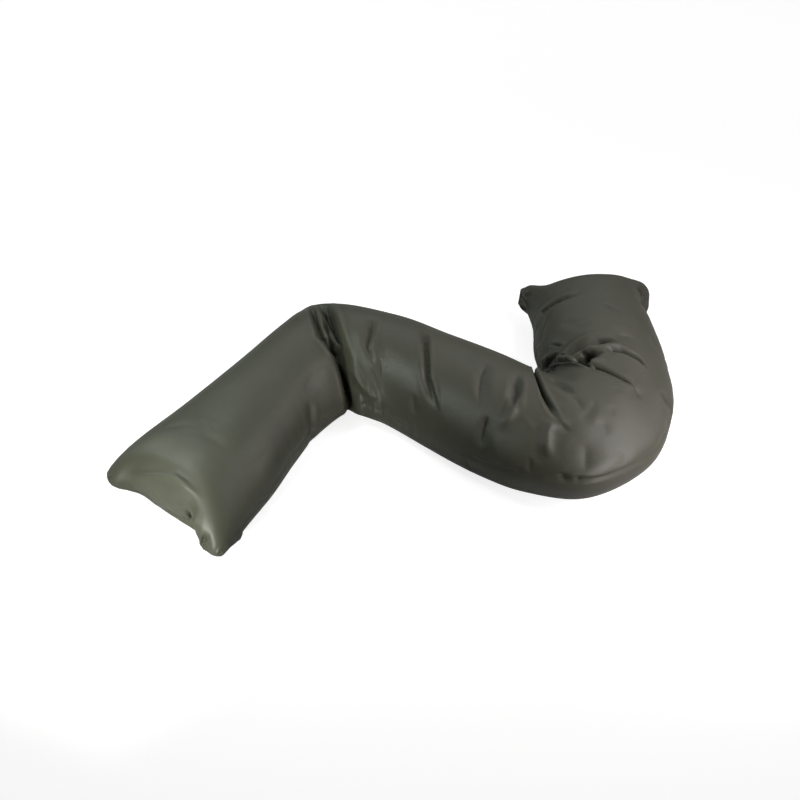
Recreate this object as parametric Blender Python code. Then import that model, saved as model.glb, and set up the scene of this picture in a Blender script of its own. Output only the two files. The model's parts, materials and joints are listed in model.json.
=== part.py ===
"""Positioning cushion: a long bag of coated cloth, loosely filled with light beads.

Two long panels are sewn together round their edge, so the bag is a pillow: a crowned upper panel, a lower
panel that lies flat on the floor, a seam at half height between them, and an ear at each corner. It lies in
an S: a straight left leg, a sharp fold, a straight middle, a round bend and a far limb. Metres, +Z up, +X
along the longest extent, the floor at z = 0, and the origin under the middle of the bounding box.
"""

from collections import namedtuple
from math import pi

import bmesh
import bpy
import numpy as np

# The grid that both panels are drawn on
END_ROWS = 8              # cross-sections on each rounded end
ACROSS = 28               # strips across the upper panel
LOWER_EVERY = 2           # strips of the upper panel for each strip of the lower one
CLEAR = 0.008             # no cross-section lies nearer to a rounded end than this

# The cross-section of the bag
SEAM_POINT = 0.58         # how sharply the panels meet at the seam: 0.5 is round, 1 is a knife edge
SAG = 0.032               # how far the lower panel would hang below the floor if there were none
SEAM_INSET = 0.004        # how far the seam lies inside the widest place
LOWER_SWELL = 0.10        # how far the lower panel swells out below the seam, as a share of its height
SWELL_POWER = 0.7         # below 1 the swell is highest in the upper half of the lower panel's side

# One row for each end. Over its rounding both panels close on a superellipse. Between the ears the end
# seam is drawn in and dips, and the upper panel bellies out over it. The lower panel is tucked in below
# the seam, and more so below an ear. An ear starts at the first and stands out fully at the second share
# of the half width.
End = namedtuple("End", "name round closing drawn_in dip belly tuck ear_tuck "
                        "far_ear far_ear_full near_ear near_ear_full")
ENDS = (
    End("left end", 0.075, 3.0, 0.033, 0.014, 0.014, 0.024, 0.036, 0.50, 0.80, 0.40, 0.72),
    End("far end", 0.075, 3.0, 0.044, 0.010, 0.012, 0.024, 0.030, 0.55, 0.85, 0.60, 0.90),
)
TUCK_POWER = 8            # the higher it is, the nearer to the seam the tuck is deepest
EAR_RADIUS = 0.030

# The folds
HALF_PANEL = 0.18         # from the crown to a seam, measured over the cloth
CORE_HEIGHT = 0.4         # height of the core that a fold sinks toward, as a share of the crown
UNDER_FOLD = 0.050        # how far a fold runs on under the seam
FOLD_POWER = 1.7          # sharpness of a fold: 2 is a smooth valley, 1 a sharp one
SHOULDER = 0.18           # the cloth beside a fold stands up by this share of the depth
SHOULDER_AT = 2.0         # how far from the fold it stands up, in fold widths
SHOULDER_WIDTH = 0.8      # how wide it is, in fold widths
EDGE = 0.001              # keeps a fold with no rise or fade at full depth up to the end of its path
TINY = 1e-6               # keeps a direction from being divided by zero in the middle of the lower panel

# One row for each cross-section that gives the bag its lie. The far and the near place are the widest
# points on the side away from and nearest the viewer. Crown and seam are heights above the floor. Boxy is
# the power of the upper curve: 2 is round, and more is flatter on top. Lean moves the crown toward the near
# side, as a share of the half width. Strips is how many strips lie between this cross-section and the next.
Rib = namedtuple("Rib", "name far_x far_y near_x near_y crown far_seam near_seam boxy lean strips")
RIBS = (
    Rib("left end seam", -0.600, -0.291, -0.333, -0.494, 0.120, 0.056, 0.034, 2.3, 0.00, 4),
    Rib("left end", -0.563, -0.241, -0.303, -0.430, 0.150, 0.058, 0.050, 2.2, 0.00, 7),
    Rib("left leg low", -0.461, -0.126, -0.247, -0.329, 0.168, 0.070, 0.070, 2.1, 0.00, 8),
    Rib("left leg middle", -0.351, 0.022, -0.206, -0.231, 0.172, 0.075, 0.075, 2.1, 0.00, 6),
    Rib("left leg high", -0.270, 0.140, -0.164, -0.148, 0.172, 0.080, 0.070, 2.1, 0.00, 5),
    Rib("before the fold", -0.236, 0.185, -0.129, -0.102, 0.168, 0.085, 0.065, 2.1, 0.00, 5),
    Rib("the fold", -0.207, 0.223, -0.104, -0.075, 0.145, 0.088, 0.055, 2.1, 0.00, 4),
    Rib("after the fold", -0.168, 0.217, -0.083, -0.092, 0.165, 0.085, 0.065, 2.1, 0.00, 9),
    Rib("middle left", -0.010, 0.174, -0.032, -0.121, 0.172, 0.080, 0.070, 2.1, 0.00, 8),
    Rib("middle", 0.119, 0.107, 0.049, -0.192, 0.170, 0.075, 0.075, 2.1, 0.00, 7),
    Rib("middle right", 0.227, 0.040, 0.129, -0.261, 0.172, 0.075, 0.085, 2.1, 0.00, 9),
    Rib("bend begins", 0.290, -0.012, 0.243, -0.333, 0.178, 0.070, 0.105, 2.1, 0.00, 8),
    Rib("bend low", 0.312, -0.030, 0.369, -0.355, 0.182, 0.065, 0.112, 2.1, 0.00, 10),
    Rib("bend corner", 0.318, -0.014, 0.497, -0.280, 0.182, 0.065, 0.110, 2.1, 0.00, 11),
    Rib("bend high", 0.311, 0.023, 0.565, -0.136, 0.176, 0.065, 0.106, 2.1, 0.00, 11),
    Rib("limb low", 0.300, 0.090, 0.586, 0.030, 0.170, 0.075, 0.080, 2.1, 0.00, 7),
    Rib("limb high", 0.304, 0.190, 0.580, 0.160, 0.160, 0.072, 0.070, 2.3, 0.10, 5),
    Rib("far end", 0.295, 0.270, 0.571, 0.252, 0.150, 0.056, 0.062, 2.4, 0.28, 4),
    Rib("far end seam", 0.279, 0.336, 0.611, 0.326, 0.138, 0.062, 0.058, 2.4, 0.32, 0),
)

# One row for each fold that shows from a step away. A positive depth is a valley and a negative one a ridge.
# The fold rises and fades over these shares of its length at the start and at the end of its path. The path
# is two to four places on the cloth: the metres along the crown from the left end's edge, below zero on its
# steep face, then -1 at the far seam, 0 on the crown and 1 at the near seam.
Fold = namedtuple("Fold", "name depth width rise fade path")
FOLDS = (
    Fold("end arc", -0.005, 0.012, 0.3, 0.3,
         ((-0.014, -0.55), (0.000, -0.20), (0.032, 0.10), (0.034, 0.42))),
    Fold("end pucker", 0.011, 0.011, 0.4, 0.0,
         ((0.012, 0.28), (-0.030, 0.25), (-0.100, 0.21))),
    Fold("end roll", -0.006, 0.010, 0.4, 0.0,
         ((0.010, 0.35), (-0.030, 0.34), (-0.100, 0.32))),
    Fold("ear pinch", 0.010, 0.010, 0.4, 0.0,
         ((-0.002, 0.60), (-0.040, 0.54), (-0.100, 0.48))),
    Fold("leg crease", 0.017, 0.009, 0.25, 0.1,
         ((0.549, -0.56), (0.533, -0.20), (0.523, 0.10), (0.550, 0.36))),
    Fold("fold valley", 0.036, 0.013, 0.3, 0.0,
         ((0.541, 0.12), (0.563, 0.34), (0.565, 0.62), (0.566, 1.00))),
    Fold("middle crease", 0.026, 0.011, 0.3, 0.2,
         ((0.583, -0.62), (0.580, -0.20), (0.578, 0.10), (0.577, 0.32))),
    Fold("fold pocket", 0.015, 0.009, 0.3, 0.3,
         ((0.568, -0.12), (0.557, 0.03), (0.557, 0.18), (0.568, 0.29))),
    Fold("crook face", 0.008, 0.022, 0.4, 0.0,
         ((0.578, 0.60), (0.597, 0.82), (0.612, 1.00))),
    Fold("ridge from the fold", -0.008, 0.012, 0.3, 0.4,
         ((0.559, 0.42), (0.583, 0.54), (0.612, 0.73), (0.690, 0.84))),
    Fold("leg side wrinkle", 0.007, 0.012, 0.5, 0.0,
         ((0.436, 0.60), (0.421, 1.00))),
    Fold("first wrinkle", 0.008, 0.011, 0.4, 0.4,
         ((0.669, -0.25), (0.660, 0.10), (0.648, 0.28), (0.667, 0.47))),
    Fold("second wrinkle", 0.013, 0.011, 0.3, 0.4,
         ((0.774, -0.36), (0.798, 0.00), (0.819, 0.33), (0.868, 0.65))),
    Fold("third wrinkle", 0.006, 0.013, 0.4, 0.4,
         ((0.941, -0.28), (0.939, 0.05), (0.957, 0.43))),
    Fold("fourth wrinkle", 0.009, 0.013, 0.4, 0.3,
         ((1.010, -0.22), (1.021, 0.02), (1.022, 0.28))),
    Fold("near wrinkle", 0.006, 0.011, 0.4, 0.4,
         ((0.978, 0.34), (0.976, 0.58), (0.980, 0.82))),
    Fold("wrinkle ridge", -0.006, 0.011, 0.4, 0.4,
         ((1.036, 0.02), (1.020, 0.28), (1.000, 0.54))),
    Fold("crook slit", 0.024, 0.013, 0.2, 0.2,
         ((1.052, -0.95), (1.061, -0.34), (1.074, -0.12), (1.101, 0.32))),
    Fold("bend ridge", -0.006, 0.013, 0.3, 0.2,
         ((1.087, 0.20), (1.079, 0.37), (1.080, 0.57), (1.092, 0.88))),
    Fold("lobe wrinkle", 0.007, 0.013, 0.3, 0.4,
         ((1.098, -0.21), (1.128, -0.13), (1.146, -0.01))),
    Fold("bend wrinkle", 0.004, 0.014, 0.5, 0.3,
         ((1.135, 0.44), (1.126, 0.66), (1.118, 0.84))),
    Fold("crook valley", 0.038, 0.014, 0.1, 0.2,
         ((1.310, -1.00), (1.258, -0.74), (1.228, -0.52), (1.238, -0.16))),
    Fold("bend slit", 0.017, 0.010, 0.1, 0.3,
         ((1.237, -0.20), (1.245, -0.04), (1.252, 0.15), (1.258, 0.32))),
    Fold("crook pocket", 0.018, 0.011, 0.3, 0.3,
         ((1.244, -0.32), (1.268, -0.25), (1.303, -0.20))),
    Fold("flap edge", -0.008, 0.010, 0.2, 0.3,
         ((1.246, -0.16), (1.284, -0.10), (1.314, -0.03))),
    Fold("limb valley", 0.018, 0.013, 0.2, 0.4,
         ((1.258, -0.50), (1.306, -0.30), (1.349, -0.06), (1.382, 0.20))),
    Fold("limb hollow", 0.016, 0.012, 0.1, 0.4,
         ((1.322, -1.00), (1.306, -0.75), (1.285, -0.58))),
    Fold("flap crease", 0.015, 0.010, 0.2, 0.3,
         ((1.320, -0.04), (1.332, 0.12), (1.332, 0.26), (1.322, 0.44))),
    Fold("limb crease", 0.004, 0.014, 0.4, 0.4,
         ((1.376, 0.00), (1.392, 0.14), (1.400, 0.36))),
    Fold("far crease", 0.008, 0.011, 0.3, 0.4,
         ((1.470, -0.88), (1.533, -0.71), (1.544, -0.46), (1.553, -0.12))),
)


def smooth(values, knots, at):
    """A smooth curve through the rib values, with each rib's slope taken from its two neighbours."""
    gap = np.diff(knots)
    chord = np.diff(values) / gap
    slope = np.empty(len(values))
    slope[1:-1] = (chord[:-1] * gap[1:] + chord[1:] * gap[:-1]) / (gap[:-1] + gap[1:])
    slope[0], slope[-1] = chord[0], chord[-1]
    i = np.clip(np.searchsorted(knots, at, side="right") - 1, 0, len(knots) - 2)
    t = (at - knots[i]) / gap[i]
    return ((1 + 2 * t) * (1 - t) ** 2 * values[i] + t * (1 - t) ** 2 * gap[i] * slope[i]
            + t * t * (3 - 2 * t) * values[i + 1] - t * t * (1 - t) * gap[i] * slope[i + 1])


def stations():
    """The distance of every cross-section along the bag's middle, and each rib column there."""
    column = {field: np.array([getattr(rib, field) for rib in RIBS]) for field in Rib._fields[1:]}
    middle_x = (column["far_x"] + column["near_x"]) / 2
    middle_y = (column["far_y"] + column["near_y"]) / 2
    knots = np.concatenate([[0], np.cumsum(np.hypot(np.diff(middle_x), np.diff(middle_y)))])
    between = np.concatenate([np.linspace(knots[i], knots[i + 1], rib.strips, endpoint=False)
                              for i, rib in enumerate(RIBS[:-1])])
    # On a rounded end the cloth falls steeply to the seam, so the cross-sections lie closer there
    closer = 1 - np.cos(np.linspace(0, pi / 2, END_ROWS))
    left_rows = ENDS[0].round * closer
    far_rows = knots[-1] - ENDS[1].round * closer[::-1]
    between = between[(between > left_rows[-1] + CLEAR) & (between < far_rows[0] - CLEAR)]
    along = np.concatenate([left_rows, between, far_rows])
    return along, {field: smooth(column[field], knots, along)[:, None] for field in column}


def ramp(value, low, high):
    """A soft step from 0 at the low value to 1 at the high one."""
    t = np.clip((value - low) / (high - low), 0, 1)
    return t * t * (3 - 2 * t)


def end_shape(end, to_end, side):
    """How full the bag is near an end, how far its seam dips, and how far each panel lies ahead of it."""
    near_end = np.clip(1 - to_end / end.round, 0, 1)
    closing = (1 - near_end ** end.closing) ** 0.5
    ears = np.where(side < 0, ramp(-side, end.far_ear, end.far_ear_full),
                    ramp(side, end.near_ear, end.near_ear_full))
    dip = end.dip * near_end * (1 - ears)
    seam_ahead = -end.drawn_in * near_end ** 2 * (1 - ears)
    upper_ahead = seam_ahead + end.belly * 4 * closing * (1 - closing) * (1 - ears)
    lower_ahead = seam_ahead - (end.tuck + end.ear_tuck * ears) * near_end * (1 - near_end ** TUCK_POWER)
    return closing, dip, upper_ahead, lower_ahead


def bag(along, rib, across):
    """The points of both panels: rows along the bag, columns from the far seam to the near seam."""
    side = np.sin(pi / 2 * across)[None, :]
    half_width = np.hypot(rib["near_x"] - rib["far_x"], rib["near_y"] - rib["far_y"]) / 2
    from_left = along[:, None]
    to_end = np.minimum(from_left, along[-1] - from_left)
    at_left = from_left < along[-1] / 2
    closing, dip, upper_ahead, lower_ahead = (
        np.where(at_left, left, far)
        for left, far in zip(*(end_shape(end, to_end, side) for end in ENDS)))
    leaning = side - rib["lean"] * (1 - side ** 2)
    fullness = np.maximum(1 - np.abs(leaning) ** rib["boxy"], 0) ** SEAM_POINT * closing

    # Each corner's square of cloth becomes a quarter disc, which rounds the ear
    end_part = np.clip(1 - to_end / EAR_RADIUS, 0, 1)
    side_part = np.clip(1 - (1 - np.abs(side)) * half_width / EAR_RADIUS, 0, 1)
    back = EAR_RADIUS * end_part * (1 - np.sqrt(1 - side_part ** 2 / 2))
    inward = EAR_RADIUS * side_part * (1 - np.sqrt(1 - end_part ** 2 / 2))
    edge = np.sign(side) / half_width
    place = side * (1 - SEAM_INSET / half_width) - inward * edge

    # The lower panel swells out between the seam and the floor
    seam = rib["far_seam"] + (rib["near_seam"] - rib["far_seam"]) * (1 + side) / 2 - dip
    lowered = np.clip(fullness * (seam + SAG) / seam, 0, 1)
    swell = LOWER_SWELL * seam * np.sin(pi * lowered ** SWELL_POWER) * closing
    lower_place = place + edge * swell

    ahead_x = np.gradient(rib["far_x"] + rib["near_x"], along, axis=0)
    ahead_y = np.gradient(rib["far_y"] + rib["near_y"], along, axis=0)
    length = np.hypot(ahead_x, ahead_y) * np.where(at_left, -1, 1)

    def laid(place, ahead, height):
        """Points at a share of the width, moved ahead along the bag, at a height."""
        x = rib["far_x"] + (rib["near_x"] - rib["far_x"]) * (1 + place) / 2 + ahead_x / length * ahead
        y = rib["far_y"] + (rib["near_y"] - rib["far_y"]) * (1 + place) / 2 + ahead_y / length * ahead
        return np.stack([x, y, height], axis=-1)

    top = laid(place, upper_ahead - back, seam + (rib["crown"] - seam) * fullness)
    bottom = laid(lower_place, lower_ahead - back, np.maximum(seam - (seam + SAG) * fullness, 0))
    return top, bottom


def cloth_length(along, top):
    """Metres of cloth along the crown at every cross-section, over the steep faces of both ends too."""
    crown = top[:, top.shape[1] // 2]
    reach = np.concatenate([[0], np.cumsum(np.linalg.norm(np.diff(crown, axis=0), axis=1))])
    left = np.argmin(np.abs(along - ENDS[0].round))
    far = np.argmin(np.abs(along - along[-1] + ENDS[1].round))
    cloth = along.copy()
    cloth[:left] = along[left] - reach[left] + reach[:left]
    cloth[far:] = along[far] - reach[far] + reach[far:]
    return cloth


def fold_depth(cloth, across):
    """How deep the folds lie at every place on the upper panel."""
    here = np.stack(np.broadcast_arrays(cloth[:, None], across[None, :] * HALF_PANEL), axis=-1)
    total = np.zeros(here.shape[:2])
    for fold in FOLDS:
        path = np.array(fold.path) * (1, HALF_PANEL)
        reach = np.concatenate([[0], np.cumsum(np.linalg.norm(np.diff(path, axis=0), axis=1))])
        nearest = np.full(total.shape, np.inf)
        travelled = np.zeros(total.shape)
        for start, end, before, after in zip(path[:-1], path[1:], reach[:-1], reach[1:]):
            t = np.clip((here - start) @ (end - start) / (after - before) ** 2, 0, 1)
            aside = np.linalg.norm(here - start - t[..., None] * (end - start), axis=-1)
            travelled = np.where(aside < nearest, (before + t * (after - before)) / reach[-1], travelled)
            nearest = np.minimum(aside, nearest)
        offset = nearest / fold.width
        shoulder = SHOULDER * np.exp(-((offset - SHOULDER_AT) / SHOULDER_WIDTH) ** 2)
        strength = ramp(travelled, -EDGE, fold.rise) * (1 - ramp(travelled, 1 - fold.fade, 1 + EDGE))
        total += fold.depth * (np.exp(-offset ** FOLD_POWER) - shoulder) * strength
    return total[..., None]


def panels():
    """Both panels as grids of points, folded. A fold moves a point toward the core of its cross-section."""
    along, rib = stations()
    across = np.linspace(-1, 1, ACROSS + 1)
    top, bottom = bag(along, rib, across)
    core = np.concatenate([(rib["far_x"] + rib["near_x"]) / 2, (rib["far_y"] + rib["near_y"]) / 2,
                           rib["crown"] * CORE_HEIGHT], axis=1)[:, None, :]
    depth = fold_depth(cloth_length(along, top), across)
    column = across[None, :, None]
    at_seam = np.where(column < 0, depth[:, :1], depth[:, -1:])
    under = at_seam * np.exp(-((1 - np.abs(column)) * HALF_PANEL / UNDER_FOLD) ** 2)
    top = top + (core - top) / np.linalg.norm(core - top, axis=-1, keepdims=True) * depth
    level = (core - bottom) * (1, 1, 0)
    bottom = bottom + level / np.maximum(np.linalg.norm(level, axis=-1, keepdims=True), TINY) * under
    return along, across, top, bottom


def sew(top, bottom):
    """One closed mesh of both panels, which share the points of the seam all the way round."""
    rows, columns = top.shape[:2]
    mesh = bmesh.new()
    upper = [[mesh.verts.new(point) for point in row] for row in top]
    for i in range(rows - 1):
        for j in range(columns - 1):
            mesh.faces.new((upper[i][j], upper[i][j + 1], upper[i + 1][j + 1], upper[i + 1][j]))

    # The lower panel has fewer points inside, but it takes up every point of the seam
    lower = [list(row) for row in upper]
    for i in range(1, rows - 1):
        for j in range(1, columns - 1):
            lower[i][j] = mesh.verts.new(bottom[i, j]) if j % LOWER_EVERY == 0 else None
    for i in range(rows - 1):
        for j in range(0, columns - 1, LOWER_EVERY):
            ring = lower[i + 1][j:j + LOWER_EVERY + 1] + lower[i][j:j + LOWER_EVERY + 1][::-1]
            mesh.faces.new([point for point in ring if point is not None])
    bmesh.ops.triangulate(mesh, faces=mesh.faces)
    return mesh


def centred(top, bottom):
    """Both panels moved level, so that the middle of the bag's box is at x = 0 and y = 0."""
    low = np.minimum(top.min(axis=(0, 1)), bottom.min(axis=(0, 1)))
    high = np.maximum(top.max(axis=(0, 1)), bottom.max(axis=(0, 1)))
    middle = (low + high) / 2 * (1, 1, 0)
    return top - middle, bottom - middle


def coated_cloth():
    """Grey-olive polyurethane-coated cloth, half matt."""
    material = bpy.data.materials.new("coated_cloth")
    material.use_nodes = True
    shader = material.node_tree.nodes["Principled BSDF"]
    shader.inputs["Base Color"].default_value = (0.050, 0.051, 0.038, 1)
    shader.inputs["Roughness"].default_value = 0.5
    shader.inputs["Metallic"].default_value = 0.0
    return material


def cushion():
    """The filled bag as one object."""
    along, across, top, bottom = panels()
    mesh = sew(*centred(top, bottom))
    data = bpy.data.meshes.new("cushion")
    mesh.to_mesh(data)
    mesh.free()
    data.shade_smooth()
    data.materials.append(coated_cloth())
    bpy.context.scene.collection.objects.link(bpy.data.objects.new("cushion", data))


for item in list(bpy.data.objects):
    bpy.data.objects.remove(item)
cushion()
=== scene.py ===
import json
from collections import namedtuple
from math import pi

import bpy
import numpy as np
from mathutils import Matrix, Vector

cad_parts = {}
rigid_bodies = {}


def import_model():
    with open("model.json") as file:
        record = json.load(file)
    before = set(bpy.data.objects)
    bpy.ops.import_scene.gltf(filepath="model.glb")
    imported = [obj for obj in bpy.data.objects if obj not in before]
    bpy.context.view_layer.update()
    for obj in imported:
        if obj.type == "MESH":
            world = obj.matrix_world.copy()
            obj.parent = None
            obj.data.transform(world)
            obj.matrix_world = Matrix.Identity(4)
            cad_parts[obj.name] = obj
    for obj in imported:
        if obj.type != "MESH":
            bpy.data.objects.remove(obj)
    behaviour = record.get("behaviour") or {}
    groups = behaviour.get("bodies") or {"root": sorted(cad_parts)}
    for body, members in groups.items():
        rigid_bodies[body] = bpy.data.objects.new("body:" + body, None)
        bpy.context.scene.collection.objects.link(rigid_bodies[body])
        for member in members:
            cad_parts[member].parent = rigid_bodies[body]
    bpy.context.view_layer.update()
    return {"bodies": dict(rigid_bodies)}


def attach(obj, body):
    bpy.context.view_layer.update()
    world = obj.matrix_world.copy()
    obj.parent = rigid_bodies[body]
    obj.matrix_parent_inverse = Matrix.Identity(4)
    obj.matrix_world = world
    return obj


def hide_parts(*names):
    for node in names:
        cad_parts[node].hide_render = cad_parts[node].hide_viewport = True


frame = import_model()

body = next(iter(frame["bodies"]))
scene = bpy.context.scene

# The photographer's view: a camera on a tripod in front of the cushion, level and looking down at 42 degrees
# from two and a half metres, with a portrait lens. It aims at the origin of the pattern maker's drawing.
box_middle = (0.005619, -0.072142, 0)    # the middle of the bag's box on that drawing, the origin here
camera_target = -Vector(box_middle)
camera_distance = 2.5
camera_elevation = np.radians(42)
lens_mm = 50.625
sensor_mm = 36
camera_reach = 50


def aimed(place, aim):
    """How a camera or a lamp stands that looks from a place at its aim."""
    return Matrix.Translation(place) @ (aim - place).to_track_quat("-Z", "Y").to_matrix().to_4x4()


def put_in(name, data):
    """An object with its data, put in the scene."""
    thing = bpy.data.objects.new(name, data)
    scene.collection.objects.link(thing)
    return thing


eye = camera_target + camera_distance * Vector((0, -np.cos(camera_elevation), np.sin(camera_elevation)))
camera_data = bpy.data.cameras.new("camera")
camera_data.lens = lens_mm
camera_data.sensor_width = sensor_mm
camera_data.clip_end = camera_reach
camera = put_in("camera", camera_data)
camera.matrix_world = aimed(eye, camera_target)
scene.camera = camera
scene.view_settings.view_transform = "Standard"
scene.view_settings.look = "None"

# The studio: a matt floor that glows white for the camera alone, softboxes with grids close to the left end,
# over the left leg and at the right of the bend, open ones at both sides and a wide one behind. The left ones
# are a little green and the right ones a little pink.
floor_half = 30.0
floor_drop = 0.0004
floor_paint = (0.45, 0.45, 0.45, 1)
floor_roughness = 0.9
floor_shine = 0.1
floor_glow = (1, 1, 1, 1)
floor_seen_glow = 0.80
sky_colour = (1.0, 1.0, 1.0, 1)
sky_light = 0.06
sky_seen = 1.0

# Each softbox is a square of so many metres, with its power in watts and the degrees that its front lets out
Softbox = namedtuple("Softbox", "name place aim side power spread colour")
softboxes = (
    Softbox("left end", (-0.68, -0.92, 0.28), (-0.47, -0.39, 0.1), 0.3, 1.0, 42, (0.97, 1.0, 0.92)),
    Softbox("left high", (-2.25, 1.30, 1.50), (0, 0, 0.1), 1.0, 18, 180, (0.90, 1.0, 0.92)),
    Softbox("left top", (-0.98, -0.08, 1.55), (-0.39, -0.05, 0.1), 0.6, 1.4, 44, (0.93, 1.0, 0.95)),
    Softbox("right low", (2.85, 0.77, 0.82), (0, 0, 0.1), 1.0, 6, 180, (1.0, 0.95, 1.00)),
    Softbox("right back", (1.84, 1.84, 1.50), (0, 0, 0.1), 1.0, 4, 180, (1.0, 0.96, 1.00)),
    Softbox("right high", (1.45, 0.05, 1.70), (0.5, 0.05, 0.1), 0.9, 3.2, 60, (1.0, 0.95, 0.97)),
    Softbox("right front", (1.25, -0.48, 0.66), (0.56, -0.15, 0.1), 0.6, 1.0, 50, (1.0, 0.95, 0.97)),
    Softbox("right near", (0.85, -0.75, 0.35), (0.48, -0.25, 0.1), 0.3, 0.8, 70, (1.0, 0.95, 0.97)),
    Softbox("back", (0.00, 3.50, 3.00), (0, 0, 0.1), 4.0, 46, 180, (1.0, 1.0, 1.0)),
)


def seen_as(tree, unseen, seen, socket):
    """Feeds a strength that is one value for the camera and another for all other rays."""
    rays = tree.nodes.new("ShaderNodeLightPath")
    strength = tree.nodes.new("ShaderNodeMapRange")
    strength.inputs["To Min"].default_value = unseen
    strength.inputs["To Max"].default_value = seen
    tree.links.new(rays.outputs["Is Camera Ray"], strength.inputs["Value"])
    tree.links.new(strength.outputs["Result"], socket)


def studio_floor():
    mesh = bpy.data.meshes.new("studio_floor")
    corners = [(x * floor_half, y * floor_half, -floor_drop) for x, y in ((-1, -1), (1, -1), (1, 1), (-1, 1))]
    mesh.from_pydata(corners, [], [(0, 1, 2, 3)])
    material = bpy.data.materials.new("studio_white")
    material.use_nodes = True
    paint = material.node_tree.nodes["Principled BSDF"]
    for name, value in (("Base Color", floor_paint), ("Roughness", floor_roughness),
                        ("Specular IOR Level", floor_shine), ("Emission Color", floor_glow)):
        paint.inputs[name].default_value = value
    seen_as(material.node_tree, 0.0, floor_seen_glow, paint.inputs["Emission Strength"])
    mesh.materials.append(material)
    floor = put_in("studio_floor", mesh)


def hang_softbox(box):
    name = box.name + " softbox"
    light = bpy.data.lights.new(name, "AREA")
    light.shape = "RECTANGLE"
    light.size = light.size_y = box.side
    light.energy = box.power
    light.spread = np.radians(box.spread)
    light.color = box.colour
    lamp = put_in(name, light)
    lamp.matrix_world = aimed(Vector(box.place), Vector(box.aim))


studio_floor()
for softbox in softboxes:
    hang_softbox(softbox)
sky = bpy.data.worlds.new("studio_sky")
sky.use_nodes = True
sky_shader = sky.node_tree.nodes["Background"]
sky_shader.inputs["Color"].default_value = sky_colour
seen_as(sky.node_tree, sky_light, sky_seen, sky_shader.inputs["Strength"])
scene.world = sky

# The filled bag: two long panels of coated cloth, sewn together round their edge, turned right side out and
# filled loosely with light beads. It lies in an S, so the cloth doubles over at the sharp fold on the left
# and bunches in the crook of the round bend. It is one closed soft piece.

# Where the bag lies: one row for each cross-section, in millimetres as on the pattern maker's drawing. The
# far and the near place are its widest points, and the crown and both seams are heights above the floor.
metre = 1000                 # millimetres
Rib = namedtuple("Rib", "name far_x far_y near_x near_y crown far_seam near_seam boxy lean strips")
rib_lengths = 7              # the columns of a rib that are lengths
ribs = (
    Rib("left end seam", -600, -291, -333, -494, 120, 56, 34, 2.3, 0, 4),
    Rib("left end", -563, -241, -303, -430, 150, 58, 50, 2.2, 0, 7),
    Rib("left leg low", -461, -126, -247, -329, 168, 70, 70, 2.1, 0, 8),
    Rib("left leg middle", -351, 22, -206, -231, 172, 75, 75, 2.1, 0, 6),
    Rib("left leg high", -270, 140, -164, -148, 172, 80, 70, 2.1, 0, 5),
    Rib("before the fold", -236, 185, -129, -102, 168, 85, 65, 2.1, 0, 5),
    Rib("the fold", -207, 223, -104, -75, 145, 88, 55, 2.1, 0, 4),
    Rib("after the fold", -168, 217, -83, -92, 165, 85, 65, 2.1, 0, 9),
    Rib("middle left", -10, 174, -32, -121, 172, 80, 70, 2.1, 0, 8),
    Rib("middle", 119, 107, 49, -192, 170, 75, 75, 2.1, 0, 7),
    Rib("middle right", 227, 40, 129, -261, 172, 75, 85, 2.1, 0, 9),
    Rib("bend begins", 290, -12, 243, -333, 178, 70, 105, 2.1, 0, 8),
    Rib("bend low", 312, -30, 369, -355, 182, 65, 112, 2.1, 0, 10),
    Rib("bend corner", 318, -14, 497, -280, 182, 65, 110, 2.1, 0, 11),
    Rib("bend high", 311, 23, 565, -136, 176, 65, 106, 2.1, 0, 11),
    Rib("limb low", 300, 90, 586, 30, 170, 75, 80, 2.1, 0, 7),
    Rib("limb high", 304, 190, 580, 160, 160, 72, 70, 2.3, 0.1, 5),
    Rib("far end", 295, 270, 571, 252, 150, 56, 62, 2.4, 0.28, 4),
    Rib("far end seam", 279, 336, 611, 326, 138, 62, 58, 2.4, 0.32, 0),
)

# Both ends of the bag, with their ears at the corners
End = namedtuple("End", "name round closing drawn_in dip belly tuck ear_tuck "
                        "far_ear far_ear_full near_ear near_ear_full")
ends = (
    End("left end", 0.075, 3.0, 0.033, 0.014, 0.014, 0.024, 0.036, 0.50, 0.80, 0.40, 0.72),
    End("far end", 0.075, 3.0, 0.044, 0.010, 0.012, 0.024, 0.030, 0.55, 0.85, 0.60, 0.90),
)

# The cut of the cloth
half_panel = 0.18            # metres of cloth from the crown to a seam
seam_point = 0.58            # how sharply the panels meet at the seam
sag = 0.032                  # how far the lower panel would hang under the floor
seam_inset = 0.004
lower_swell = 0.10           # of the seam's height
swell_power = 0.7
tuck_power = 8
ear_radius = 0.030
row_gap = 0.004              # the least gap between the rows of an end and those of a leg

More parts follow.
